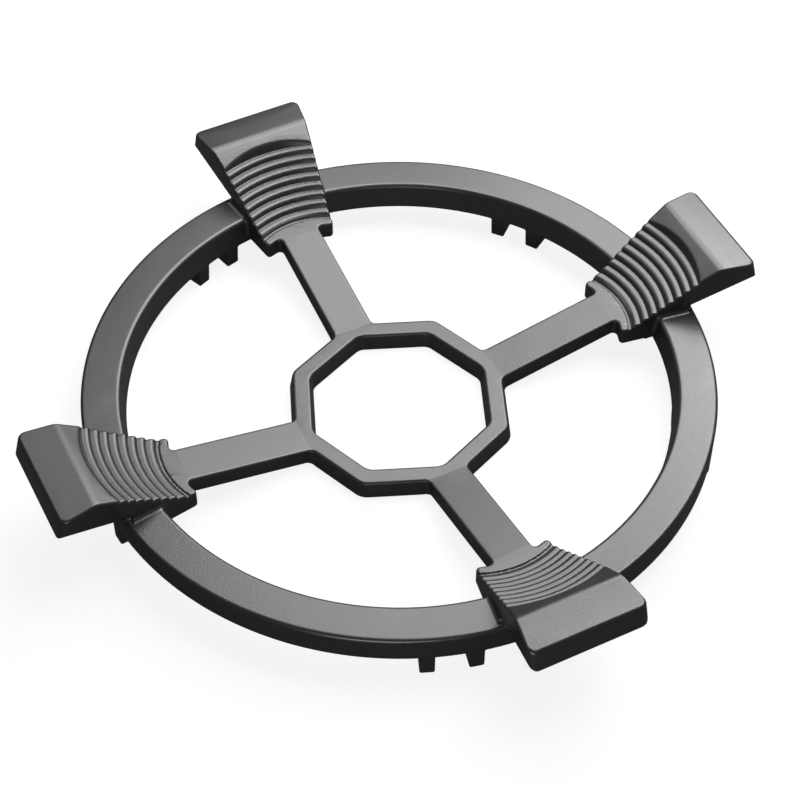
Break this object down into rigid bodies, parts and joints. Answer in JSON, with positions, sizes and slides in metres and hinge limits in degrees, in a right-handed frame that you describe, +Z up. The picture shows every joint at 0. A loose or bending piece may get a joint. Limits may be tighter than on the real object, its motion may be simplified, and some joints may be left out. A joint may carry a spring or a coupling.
{
  "type": "hob pan support",
  "caption": "Round cast-iron pan support for a gas hob: a flat ring on lugs, an octagonal middle frame on sloping spokes, and raised claws with stepped arcs that carry the pan.",
  "frame": {"origin": "middle of the ring, on the plane that the lugs and the octagonal frame stand on", "axes": "+Z up, +X along the middle line of one claw, +Y along the middle line of the next"},
  "size_m": [0.2458, 0.2458, 0.033],
  "materials": {
    "cast_iron": "fine-grained grey casting with a low sheen"
  },
  "bodies": {
    "root": {"pan_support": "cast_iron"}
  },
  "joints": []
}
